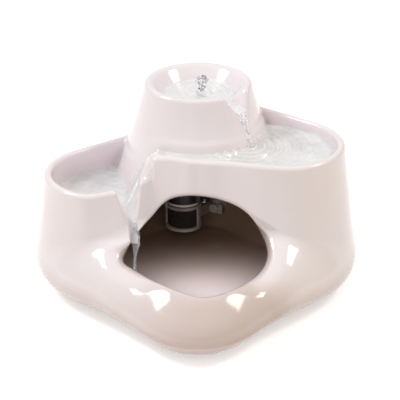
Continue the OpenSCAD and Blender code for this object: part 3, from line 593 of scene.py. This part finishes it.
class Nodes:
    """Short way to build a material's node tree."""

    def __init__(self, name):
        self.material = bpy.data.materials.new(name)
        self.material.use_nodes = True
        self.tree = self.material.node_tree
        self.shader = self.tree.nodes["Principled BSDF"]
        self.output = self.tree.nodes["Material Output"]
        self.coordinates = self.tree.nodes.new("ShaderNodeTexCoord").outputs["Object"]

    def add(self, kind, **values):
        node = self.tree.nodes.new(kind)
        for key, value in values.items():
            setattr(node, key, value)
        return node

    def link(self, a, b):
        self.tree.links.new(a, b)

    def noise(self, scale, detail=3, stretch=None):
        node = self.add("ShaderNodeTexNoise")
        node.inputs["Scale"].default_value = scale
        node.inputs["Detail"].default_value = detail
        self.place(node, stretch)
        return node.outputs["Fac"]

    def voronoi(self, scale, feature="F1"):
        node = self.add("ShaderNodeTexVoronoi", feature=feature)
        node.inputs["Scale"].default_value = scale
        self.place(node)
        return node.outputs["Distance"]

    def wave(self, scale, direction, distortion=0.0):
        node = self.add("ShaderNodeTexWave", bands_direction=direction)
        node.inputs["Scale"].default_value = scale
        node.inputs["Distortion"].default_value = distortion
        self.place(node)
        return node.outputs["Fac"]

    def place(self, node, stretch=None):
        """Lays a texture out in the object's own coordinates, stretched if asked."""
        source = self.coordinates
        if stretch:
            mapping = self.add("ShaderNodeMapping")
            mapping.inputs["Scale"].default_value = stretch
            self.link(source, mapping.inputs["Vector"])
            source = mapping.outputs["Vector"]
        self.link(source, node.inputs["Vector"])

    def ramp(self, fac, stops):
        """Colour ramp; each stop is (place, colour)."""
        node = self.add("ShaderNodeValToRGB")
        elements = node.color_ramp.elements
        while len(elements) < len(stops):
            elements.new(0.5)
        for element, (at, color) in zip(elements, stops):
            element.position = at
            element.color = color
        self.link(fac, node.inputs["Fac"])
        return node.outputs["Color"]

    def grey(self, fac, stops):
        """Ramp of plain values; each stop is (place, value)."""
        return self.ramp(fac, [(at, (v, v, v, 1)) for at, v in stops])

    def mix(self, fac, a, b, mode="MIX"):
        node = self.add("ShaderNodeMix", data_type="RGBA", blend_type=mode)
        for value, socket in ((fac, node.inputs[0]), (a, node.inputs[6]), (b, node.inputs[7])):
            if hasattr(value, "is_linked"):
                self.link(value, socket)
            else:
                socket.default_value = value
        return node.outputs[2]

    def bump(self, height, distance, strength=1.0, normal=None):
        node = self.add("ShaderNodeBump")
        node.inputs["Distance"].default_value = distance
        node.inputs["Strength"].default_value = strength
        self.link(height, node.inputs["Height"])
        if normal:
            self.link(normal, node.inputs["Normal"])
        return node.outputs["Normal"]

    def attribute(self, name):
        return self.add("ShaderNodeAttribute", attribute_name=name).outputs["Fac"]

    def set(self, **values):
        """Sets or links the main shader's sockets, named with _ for a blank."""
        for key, value in values.items():
            socket = self.shader.inputs[key.replace("_", " ")]
            if hasattr(value, "is_linked"):
                self.link(value, socket)
            else:
                socket.default_value = value
        return self.material


def glaze():
    """Ivory gloss glaze with a faint pink and beige drift, a painted warm shade low on the nose, and
    painted shade that darkens the basin.
    """
    n = Nodes("glaze")
    outer = n.ramp(n.noise(9, 2), [(0.35, srgb(239, 230, 233)), (0.5, srgb(240, 232, 232)),
                                   (0.68, srgb(240, 230, 225))])
    streaks = n.grey(n.noise(34, 3, (1, 1, 0.12)), [(0.3, 0.955), (0.7, 1.0)])
    outer = n.mix(0.6, outer, streaks, "MULTIPLY")
    specks = n.grey(n.voronoi(95), [(0.025, 0.62), (0.045, 1.0)])
    outer = n.mix(0.35, outer, specks, "MULTIPLY")
    # Painted shade: the glaze is painted a warm beige low on the nose, for the shade there and the warm
    # light from the floor.
    outer = n.mix(n.attribute("nose"), outer, srgb(206, 186, 174))
    # Painted shade: inside the basin the glaze is painted from its own colour to dark brown towards the
    # back and top, where little light gets in.
    inner = n.ramp(n.attribute("depth"), [(0.0, srgb(234, 222, 224)), (0.45, srgb(206, 188, 180)),
                                          (1.0, srgb(120, 97, 78))])
    inner = n.mix(0.5, inner, n.grey(n.noise(30, 4), [(0.3, 0.9), (0.7, 1.0)]), "MULTIPLY")
    color = n.mix(n.attribute("basin"), outer, inner)
    ripple = n.bump(n.noise(26, 2), 0.0009, 0.35)
    fine = n.bump(n.noise(420, 3), 0.00005, 0.3, ripple)
    rough = n.grey(n.noise(60, 3), [(0.3, 0.10), (0.75, 0.17)])
    return n.set(Base_Color=color, Roughness=rough, Normal=fine, IOR=1.52, Coat_Weight=0.3,
                 Coat_Roughness=0.05)


def plastic(name, dark, light, rough, grain=900, depth=0.00004):
    """Moulded plastic: faint colour drift, fine grain and soft wear."""
    n = Nodes(name)
    color = n.ramp(n.noise(70, 4), [(0.35, srgb(*dark)), (0.65, srgb(*light))])
    normal = n.bump(n.noise(grain, 3), depth, 0.6)
    normal = n.bump(n.noise(90, 2), 0.0002, 0.25, normal)
    roughness = n.grey(n.noise(140, 4), [(0.3, rough[0]), (0.7, rough[1])])
    return n.set(Base_Color=color, Roughness=roughness, Normal=normal)


def foam():
    """Open-cell foam: painted shade darkens the cells, with lighter struts."""
    n = Nodes("foam")
    cells = n.voronoi(900)
    struts = n.voronoi(900, feature="DISTANCE_TO_EDGE")
    # Painted shade in the pores: dark inside each cell, lighter near the struts.
    color = n.ramp(struts, [(0.0, srgb(62, 56, 52)), (0.12, srgb(24, 21, 20))])
    dust = n.ramp(n.noise(120, 4), [(0.4, srgb(255, 255, 255)), (0.75, srgb(190, 180, 170))])
    color = n.mix(0.8, color, dust, "MULTIPLY")
    return n.set(Base_Color=color, Roughness=0.95, Normal=n.bump(cells, 0.0006, 1.0))


def rubber(name, dark, light, clear=0.0):
    """Matt rubber with a fine grain, a little see-through where clear is above 0."""
    n = Nodes(name)
    color = n.ramp(n.noise(110, 4), [(0.35, srgb(*dark)), (0.7, srgb(*light))])
    normal = n.bump(n.noise(1300, 2), 0.00006, 0.8)
    roughness = n.grey(n.noise(50, 3), [(0.3, 0.48), (0.7, 0.66)])
    return n.set(Base_Color=color, Roughness=roughness, Normal=normal, Transmission_Weight=clear)


def shaft_steel():
    """Ground steel, with fine lines along its length."""
    n = Nodes("shaft_steel")
    lines = n.noise(120, 4, (1, 1, 6))
    color = n.ramp(lines, [(0.3, srgb(196, 198, 202)), (0.7, srgb(228, 229, 232))])
    roughness = n.grey(lines, [(0.3, 0.12), (0.7, 0.2)])
    return n.set(Base_Color=color, Roughness=roughness, Metallic=1.0, Normal=n.bump(lines, 0.00004, 0.5))


def laminations():
    """Stacked steel sheets, seen as thin lines round the core."""
    n = Nodes("core_steel")
    sheets = n.wave(320, "Z", 0.4)
    color = n.ramp(sheets, [(0.2, srgb(84, 86, 92)), (0.8, srgb(150, 152, 156))])
    rust = n.grey(n.noise(160, 4), [(0.45, 1.0), (0.8, 0.72)])
    return n.set(Base_Color=n.mix(0.7, color, rust, "MULTIPLY"), Roughness=0.42, Metallic=1.0,
                 Normal=n.bump(sheets, 0.0001, 0.7))


def winding():
    """Enamelled wire wound in layers."""
    n = Nodes("winding")
    wires = n.wave(560, "DIAGONAL")
    color = n.ramp(wires, [(0.1, srgb(96, 44, 18)), (0.8, srgb(206, 124, 66))])
    return n.set(Base_Color=color, Roughness=0.3, Metallic=0.85, Normal=n.bump(wires, 0.0002, 0.8))


def clear_water(foam_share):
    """Thin water over the glaze: clear and glossy, and white with bubbles in about foam_share of it."""
    n = Nodes("clear_water")
    waves = n.bump(n.noise(110, 3), 0.0012, 0.8)
    clear = n.add("ShaderNodeBsdfTransparent")
    clear.inputs["Color"].default_value = srgb(240, 244, 244)
    gloss = n.add("ShaderNodeBsdfGlossy")
    gloss.inputs["Roughness"].default_value = 0.03
    n.link(waves, gloss.inputs["Normal"])
    fresnel = n.add("ShaderNodeFresnel")
    fresnel.inputs["IOR"].default_value = 1.45
    n.link(waves, fresnel.inputs["Normal"])
    mixed = n.add("ShaderNodeMixShader")
    n.link(fresnel.outputs["Fac"], mixed.inputs["Fac"])
    n.link(clear.outputs["BSDF"], mixed.inputs[1])
    n.link(gloss.outputs["BSDF"], mixed.inputs[2])
    n.set(Base_Color=srgb(243, 245, 244), Roughness=0.08, Normal=waves)
    foamy = n.grey(n.noise(45, 3), [(0.35, 0.8 * foam_share), (0.7, 1.25 * foam_share)])
    final = n.add("ShaderNodeMixShader")
    n.link(foamy, final.inputs["Fac"])
    n.link(mixed.outputs["Shader"], final.inputs[1])
    n.link(n.shader.outputs["BSDF"], final.inputs[2])
    n.link(final.outputs["Shader"], n.output.inputs["Surface"])
    return n.material


def clear_stream(name, refraction_swirl, scale, stretch):
    """Glassy falling water with painted darker swirls that stand for bent light."""
    n = Nodes(name)
    waves = n.bump(n.noise(260, 2, stretch), 0.0008, 0.6)
    # Painted refraction: darker swirls in the colour, where bent light would darken the water.
    color = n.ramp(n.noise(scale, 2, stretch), [(0.44, srgb(250, 251, 252)), (0.48, refraction_swirl), (0.51, refraction_swirl),
                                               (0.55, srgb(255, 255, 255))])
    return n.set(Base_Color=color, Roughness=0.03, IOR=1.33, Transmission_Weight=0.7, Normal=waves)


# slot: darker colour, lighter colour, lowest and highest roughness, then the grain if not the usual one
PLASTICS = {
    "riser_plastic": ((214, 216, 214), (232, 232, 230), (0.2, 0.3)),
    "nozzle_plastic": ((226, 222, 218), (240, 237, 233), (0.22, 0.34)),
    "cage_plastic": ((128, 117, 110), (158, 146, 138), (0.34, 0.46)),
    "lever_plastic": ((196, 190, 184), (216, 210, 204), (0.3, 0.4)),
    "pump_plastic": ((26, 24, 24), (40, 37, 36), (0.28, 0.4)),
    "rotor_plastic": ((222, 221, 216), (240, 239, 235), (0.26, 0.36)),
    "bush_plastic": ((48, 48, 50), (66, 66, 68), (0.4, 0.5)),
    "magnet": ((44, 42, 42), (74, 70, 68), (0.5, 0.62), 600, 0.00015),
    "resin": ((14, 14, 15), (24, 24, 26), (0.12, 0.22), 400),
}
# slot: darker colour, lighter colour, and how clear it is
RUBBERS = {
    "pad_rubber": ((28, 28, 30), (46, 46, 48)),
    "sleeve_rubber": ((204, 200, 194), (222, 218, 212)),
    "clear_rubber": ((150, 143, 136), (196, 190, 184), 0.35),
    "seal_rubber": ((84, 34, 26), (112, 48, 36)),
    "gland_rubber": ((30, 30, 32), (48, 48, 50)),
}
OTHER_MATERIALS = {"foam": foam, "shaft_steel": shaft_steel, "core_steel": laminations, "winding": winding}


def material_of(slot):
    if slot in PLASTICS:
        return plastic(slot, *PLASTICS[slot])
    if slot in RUBBERS:
        return rubber(slot, *RUBBERS[slot])
    return OTHER_MATERIALS[slot]()


def dress_nodes():
    """Gives every CAD node but the ceramic body the material of its slot."""
    made = {}
    for part in frame["record"]["subparts"]:
        slot = part["material_slot"]
        if slot == "glaze":
            continue
        if slot not in made:
            made[slot] = material_of(slot)
        mesh = frame["nodes"][part["node"]].data
        mesh.materials.clear()
        mesh.materials.append(made[slot])


# ---------------------------------------------------------------- the glazed body
BODY_LOW = (-136, -132, -2)
BODY_HIGH = (134, 132, 162)
PITCH = 1.1
# Painted shade in the basin: where the glaze is painted darker, backwards and upwards, as little light
# gets in there.
BASIN_SHADE_FROM = -30
BASIN_SHADE_RUN = 130
BASIN_SHADE_RISE = 1.2
# Painted warm shade low on the nose: where the glaze is painted beige.
NOSE_SHADE_FRONT_Y = -62
NOSE_SHADE_TOP_Z = 64
NOSE_SHADE_FADE = 24
NOSE_SHADE_LEFT_X = -90
NOSE_SHADE_LEFT_FADE = 90
NOSE_SHADE_SHARE = 0.8


def make_body():
    """The ceramic body's glazed form, with grey attributes for the glaze: basin, depth for the basin's
    painted shade, and nose for the painted warm shade low on the nose.
    """
    pitch = PITCH
    points, quads = surface(body_form, BODY_LOW, BODY_HIGH, pitch)
    body = mesh_object("glazed_body", points, quads.tolist(), glaze())
    x, y, z = points.T
    inside = form(x, y, z) + WALL
    under_trays = z - tray_z(x) + CEILING_T - 1
    color_attribute(body, "basin", s_step(-inside / 2 + 0.6) * s_step(-under_trays / 2))
    # depth: how far back and up in the basin, which sets the painted shade there.
    color_attribute(body, "depth", s_step((y + BASIN_SHADE_RISE * z - BASIN_SHADE_FROM) / BASIN_SHADE_RUN))
    # nose: where the painted warm shade lies, low on the nose and fading out to the left.
    nose = s_step((NOSE_SHADE_FRONT_Y - y) / NOSE_SHADE_FADE) * s_step((NOSE_SHADE_TOP_Z - z) / NOSE_SHADE_FADE)
    color_attribute(body, "nose", NOSE_SHADE_SHARE * nose * s_step((x - NOSE_SHADE_LEFT_X) / NOSE_SHADE_LEFT_FADE))
    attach(body, "fountain")
    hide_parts("ceramic_body")


# ---------------------------------------------------------------- water
LEFT_LEVEL = 79.5
RIGHT_LEVEL = 117
BOWL_LEVEL = 148
FILM_T = 3
FILM_AHEAD = 9
FILM_BLEND = 4
SPOUT_PULL = 1.2
SPOUT_REACH = 30
SPOUT_BLEND = 3
SPOUT_WATER_HALF_W = 14
TOP_SPOUT_LIP = 28
TOP_SPOUT_WATER_HALF_W = 13
# Where the top stream and the jet stand in the water, the mound's height and width round the jet, and
# the height, length and reach of the rings.
STREAM_FOOT = (40, 30)
JET_FOOT = (2, 72)
JET_MOUND = (3.5, 6)
STREAM_RIPPLES = (2.0, 7, 36)
JET_RIPPLES = (1.0, 7, 24)
RIPPLES_FROM_X = 8
RIPPLES_RUN = 12
SWELL_T = 0.25
SWELL_FROM_X = -55
SWELL_RUN = 10
# How far a sheet of water reaches into the glaze, past the skin, into the tower and beside the spout.
INTO_GLAZE = 1.5
PAST_SKIN = 0.3
INTO_TOWER = 2
BESIDE_SPOUT = 0.8
WATER_STEP = 0.9


def ripples(x, y, at, height, length, reach):
    """Rings of waves round the point at, that fade out over reach."""
    r = np.hypot(x - at[0], y - at[1])
    return height * np.cos(2 * np.pi * r / length) * np.exp(-(r / reach) ** 2)


def tray_level(x, y):
    """Water surface: level in both trays, a film over the ledge and its ramp, and a fall in the spout."""
    level = smooth_max(tray_z(x + FILM_AHEAD) + FILM_T, LEFT_LEVEL, FILM_BLEND)
    level = np.where(x > 0, np.maximum(level, RIGHT_LEVEL), level)
    out, side = in_spout(x, y, LEFT_SPOUT, LEFT_SPOUT_TURN)
    fall = LEFT_LEVEL - np.where(out > 0, LEFT_SPOUT_FALL, SPOUT_PULL) * out
    by_spout = (np.abs(side) < SPOUT_WATER_HALF_W) & (out > -SPOUT_REACH)
    level = np.where(by_spout, smooth_min(level, fall, SPOUT_BLEND), level)
    rings = ripples(x, y, STREAM_FOOT, *STREAM_RIPPLES)
    level = level + rings * s_step((x - RIPPLES_FROM_X) / RIPPLES_RUN)
    swell = np.sin(0.5 * x + 0.21 * y) * np.sin(0.4 * y - 0.17 * x)
    return level + SWELL_T * swell * s_step((SWELL_FROM_X - x) / SWELL_RUN)


def in_trays(x, y, z):
    """Where the trays hold water; past the left lip only inside the spout."""
    out, side = in_spout(x, y, LEFT_SPOUT, LEFT_SPOUT_TURN)
    pouring = (np.abs(side) > SPOUT_WATER_HALF_W) | (out < 1) | (left_spout(x, y, z) < BESIDE_SPOUT)
    held = (body_form(x, y, z) > -INTO_GLAZE) & (form(x, y, z) < PAST_SKIN)
    return pouring & held & (tower_form(x, y, z) > -INTO_TOWER)


def bowl_level(x, y):
    """Water surface of the bowl: rings round the jet, and a fall through the spout."""
    out, side = in_spout(x, y, (0, TOWER_Y), TOP_SPOUT_TURN)
    height, width = JET_MOUND
    level = BOWL_LEVEL + height * np.exp(-(np.hypot(x - JET_FOOT[0], y - JET_FOOT[1]) / width) ** 2)
    level = level + ripples(x, y, JET_FOOT, *JET_RIPPLES)
    by_spout = (out > TOP_SPOUT_LIP) & (np.abs(side) < TOP_SPOUT_WATER_HALF_W)
    return np.where(by_spout, level - TOP_SPOUT_FALL * (out - TOP_SPOUT_LIP), level)


def in_bowl(x, y, z):
    """Where the top bowl holds water."""
    return (body_form(x, y, z) > -INTO_GLAZE) & (tower_form(x, y, z) < PAST_SKIN)


def let_light_through(body):
    """Water casts no shadow and no tint on the glaze."""
    body.visible_shadow = False
    body.visible_diffuse = False


def water_surface(name, level, kept, low, high, material):
    """Open sheet of water at level(x, y), where kept(x, y, z) holds."""
    step = WATER_STEP
    x, y = np.meshgrid(np.arange(low[0], high[0], step), np.arange(low[1], high[1], step), indexing="ij")
    z = level(x, y)
    held = kept(x, y, z)
    cells = held[:-1, :-1] & held[1:, :-1] & held[1:, 1:] & held[:-1, 1:]
    number = np.arange(x.size).reshape(x.shape)
    quads = np.stack([number[:-1, :-1][cells], number[1:, :-1][cells], number[1:, 1:][cells],
                      number[:-1, 1:][cells]], 1)
    used, quads = np.unique(quads, return_inverse=True)
    points = np.stack([x.ravel(), y.ravel(), z.ravel()], 1)[used]
    sheet = mesh_object(name, points, quads.reshape(-1, 4).tolist(), material)
    let_light_through(sheet)
    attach(sheet, "fountain")


STREAM_STEPS = 40
STREAM_ROUND = 20
STREAM_PHASE = 0.55


def stream_faces():
    """Quads along a stream's rings, and a fan of triangles on each end."""
    ring = range(STREAM_ROUND)
    after = [(j + 1) % STREAM_ROUND for j in ring]
    faces = []
    for i in range(STREAM_STEPS - 1):
        first = i * STREAM_ROUND
        second = first + STREAM_ROUND
        faces += [(first + j, first + after[j], second + after[j], second + j) for j in ring]
    start = STREAM_STEPS * STREAM_ROUND
    last = start - STREAM_ROUND
    faces += [(start, after[j], j) for j in ring]
    faces += [(start + 1, last + j, last + after[j]) for j in ring]
    return faces


def stream(name, path, half_w, half_t, across, material, twist=0.0, rider="fountain"):
    """Closed body of falling water along path, half_w wide along across and half_t thick."""
    path, half_w, half_t = (np.asarray(v, float) for v in (path, half_w, half_t))
    at = np.linspace(0, len(path) - 1, STREAM_STEPS)
    knots = np.arange(len(path))
    centre = np.stack([np.interp(at, knots, path[:, k]) for k in range(3)], 1)
    wide, thick = np.interp(at, knots, half_w), np.interp(at, knots, half_t)
    along = np.gradient(centre, axis=0)
    along /= np.linalg.norm(along, axis=1)[:, None]
    side = np.tile(np.asarray(across, float), (STREAM_STEPS, 1))
    side -= along * (side * along).sum(1)[:, None]
    side /= np.linalg.norm(side, axis=1)[:, None]
    front = np.cross(along, side)
    angle = np.linspace(0, 2 * np.pi, STREAM_ROUND, endpoint=False)[None, :]
    phase = np.arange(STREAM_STEPS)[:, None] * STREAM_PHASE
    swell = 1 + 0.16 * np.sin(phase + 2 * angle) + 0.1 * np.sin(2.3 * phase - 3 * angle)
    roll = twist * phase
    a = wide[:, None] * swell * np.cos(angle)
    b = thick[:, None] * swell * np.sin(angle)
    p = a * np.cos(roll) - b * np.sin(roll)
    q = a * np.sin(roll) + b * np.cos(roll)
    rings = centre[:, None] + p[..., None] * side[:, None] + q[..., None] * front[:, None]
    points = np.concatenate([rings.reshape(-1, 3), centre[:1], centre[-1:]])
    body = mesh_object(name, points, stream_faces(), material)
    let_light_through(body)
    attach(body, rider)


def make_left_stream(material):
    """Falls from the left spout into the basin."""
    path = [(-50.8, -17, 70), (-50.4, -22, 67), (-50, -25.5, 61), (-50.2, -27, 52), (-50.8, -27.6, 42),
            (-51.2, -28, 32), (-51.4, -28, 22)]
    half_w = (3, 4.2, 5.4, 5, 4, 3, 2)
    half_t = (1.8, 2, 1.8, 1.4, 1.3, 1.2, 1.2)
    stream("left_stream", path, half_w, half_t, (1, 0, 0), material, 0.12)


def make_top_stream(material):
    """Runs from the top spout down the tower's side into the right tray."""
    turn = math.radians(TOP_SPOUT_TURN)
    start_z, lip_z = 144, 141
    start_out, lip_out = 42, 46.5
    off_tower = 0.6
    path = []
    for z in (start_z, 141.5, 138, 133, 128, 123, 118, 114.5):
        out = start_out + 2 * (start_z - z)
        if z < lip_z:
            out = max(tower_radius(z) + off_tower, lip_out)
        path.append((out * math.sin(turn), TOWER_Y - out * math.cos(turn), z))
    half_w = (3.6, 3.6, 3.2, 2.8, 2.6, 2.6, 3, 4)
    half_t = (2, 2, 1.8, 1.5, 1.5, 1.6, 1.8, 2)
    stream("top_stream", path, half_w, half_t, (math.cos(turn), math.sin(turn), 0), material, 0.05)


def make_jet(material):
    """Short jet out of the nozzle, that swells at its top; it rides with the nozzle."""
    path = [(2, 72, 144), (2, 72, 148.5), (2.6, 72.5, 152), (3, 73, 154), (3, 73.4, 156.4), (3, 73.4, 159),
            (3, 73.4, 161), (3, 73.4, 162.2)]
    radius = (4.4, 3.2, 2.8, 3.2, 4.6, 4.8, 3.8, 0.8)
    stream("jet", path, radius, radius, (1, 0, 0), material, rider="nozzle")


def make_water():
    clear = clear_water(0.6)
    water_surface("tray_water", tray_level, in_trays, (-126, -34), (124, 76), clear)
    water_surface("bowl_water", bowl_level, in_bowl, (-34, 36), (40, 106), clear)
    # The swirl colours of the streams and the jet are painted refraction.
    glassy = clear_stream("stream", srgb(206, 206, 214), 170, (1, 1, 0.35))
    make_left_stream(glassy)
    make_top_stream(glassy)
    make_jet(clear_stream("jet", srgb(58, 60, 84), 260, (1, 1, 0.9)))


# ---------------------------------------------------------------- camera, floor and light, in metres
CAMERA_DISTANCE = 1.6
CAMERA_ELEVATION = math.radians(25.2)
CAMERA_TARGET = (0.0015, 0.008, 0.080)
CAMERA_LENS = 178.3
FLOOR_HALF = 6.0
WORLD_LIGHT = 0.62
WORLD_PALE = (0.8, 0.8, 0.8, 1)
FLOOR_GLOW = 0.42
TOP_AIM = (0, 0, 0.06)
BOX_SIZE = (0.38, 0.42)


def place_camera():
    x, y, z = CAMERA_TARGET
    data = bpy.data.cameras.new("camera")
    data.sensor_width = 36
    data.lens = CAMERA_LENS
    data.clip_end = 20
    camera = bpy.data.objects.new("camera", data)
    camera.location = (x, y - CAMERA_DISTANCE * math.cos(CAMERA_ELEVATION),
                       z + CAMERA_DISTANCE * math.sin(CAMERA_ELEVATION))
    camera.rotation_euler = (math.pi / 2 - CAMERA_ELEVATION, 0, 0)
    bpy.context.scene.collection.objects.link(camera)
    bpy.context.scene.camera = camera


def area_light(name, at, aim, size, power, color, mirrored=True, spread=math.pi):
    """Rectangular lamp at a place, turned to its aim; mirrored lamps show in the glaze."""
    data = bpy.data.lights.new(name, "AREA")
    data.shape = "RECTANGLE"
    data.size, data.size_y = size
    data.energy = power
    data.color = color
    data.spread = spread
    lamp = bpy.data.objects.new(name, data)
    lamp.location = at
    direction = Vector(aim) - Vector(at)
    lamp.rotation_euler = direction.to_track_quat("-Z", "Y").to_euler()
    lamp.visible_glossy = mirrored
    lamp.visible_camera = False
    bpy.context.scene.collection.objects.link(lamp)


def make_lamps():
    """Two soft boxes above both sides, a softer fill from the front and a little light in the basin."""
    area_light("left_box", (-0.98, 0.09, 1.2), TOP_AIM, BOX_SIZE, 7.5, (0.97, 0.98, 1))
    area_light("right_box", (0.98, 0.09, 1.2), TOP_AIM, BOX_SIZE, 5.5, (1, 0.92, 0.84))
    area_light("front_box", (-0.5, -1.6, 0.45), (0, 0, 0.08), (0.6, 0.6), 5.0, (0.95, 0.97, 1),
               mirrored=False)
    area_light("basin_box", (0.005, -0.035, 0.080), (0.005, 0.005, 0.009), (0.07, 0.03), 0.019,
               (0.97, 0.97, 1), mirrored=False, spread=1.5)


def background_rays(tree):
    """1 for camera, glossy and transmission rays, so that gloss and water show the background too."""
    path = tree.nodes.new("ShaderNodeLightPath")
    seen = path.outputs["Is Camera Ray"]
    for kind in ("Is Glossy Ray", "Is Transmission Ray"):
        either = tree.nodes.new("ShaderNodeMath")
        either.operation = "MAXIMUM"
        tree.links.new(seen, either.inputs[0])
        tree.links.new(path.outputs[kind], either.inputs[1])
        seen = either.outputs["Value"]
    return seen


def make_floor():
    """Pale floor: warm in the light that it throws back, near white where it is seen."""
    mesh = bpy.data.meshes.new("floor")
    corners = [(-FLOOR_HALF, -FLOOR_HALF, 0), (FLOOR_HALF, -FLOOR_HALF, 0), (FLOOR_HALF, FLOOR_HALF, 0),
               (-FLOOR_HALF, FLOOR_HALF, 0)]
    mesh.from_pydata(corners, [], [(0, 1, 2, 3)])
    floor = bpy.data.objects.new("floor", mesh)
    bpy.context.scene.collection.objects.link(floor)
    n = Nodes("floor")
    seen = background_rays(n.tree)
    color = n.mix(seen, srgb(196, 178, 160), srgb(250, 249, 248))
    n.set(Base_Color=color, Roughness=0.9, Specular_IOR_Level=0.1, Emission_Color=srgb(255, 255, 255),
          Emission_Strength=n.grey(seen, [(0, 0.0), (1, FLOOR_GLOW)]))
    floor.data.materials.append(n.material)


def make_world():
    """Pale surroundings for what is seen or mirrored, and a plain level of light from all round."""
    world = bpy.data.worlds.new("studio")
    bpy.context.scene.world = world
    world.use_nodes = True
    tree = world.node_tree
    light = tree.nodes["Background"]
    light.inputs["Color"].default_value = (1, 1, 1, 1)
    light.inputs["Strength"].default_value = WORLD_LIGHT
    pale = tree.nodes.new("ShaderNodeBackground")
    pale.inputs["Color"].default_value = WORLD_PALE
    mixed = tree.nodes.new("ShaderNodeMixShader")
    tree.links.new(background_rays(tree), mixed.inputs["Fac"])
    tree.links.new(light.outputs["Background"], mixed.inputs[1])
    tree.links.new(pale.outputs["Background"], mixed.inputs[2])
    tree.links.new(mixed.outputs["Shader"], tree.nodes["World Output"].inputs["Surface"])


bpy.context.scene.view_settings.view_transform = "Standard"
place_camera()
make_floor()
make_world()
make_lamps()
dress_nodes()
make_body()
make_water()
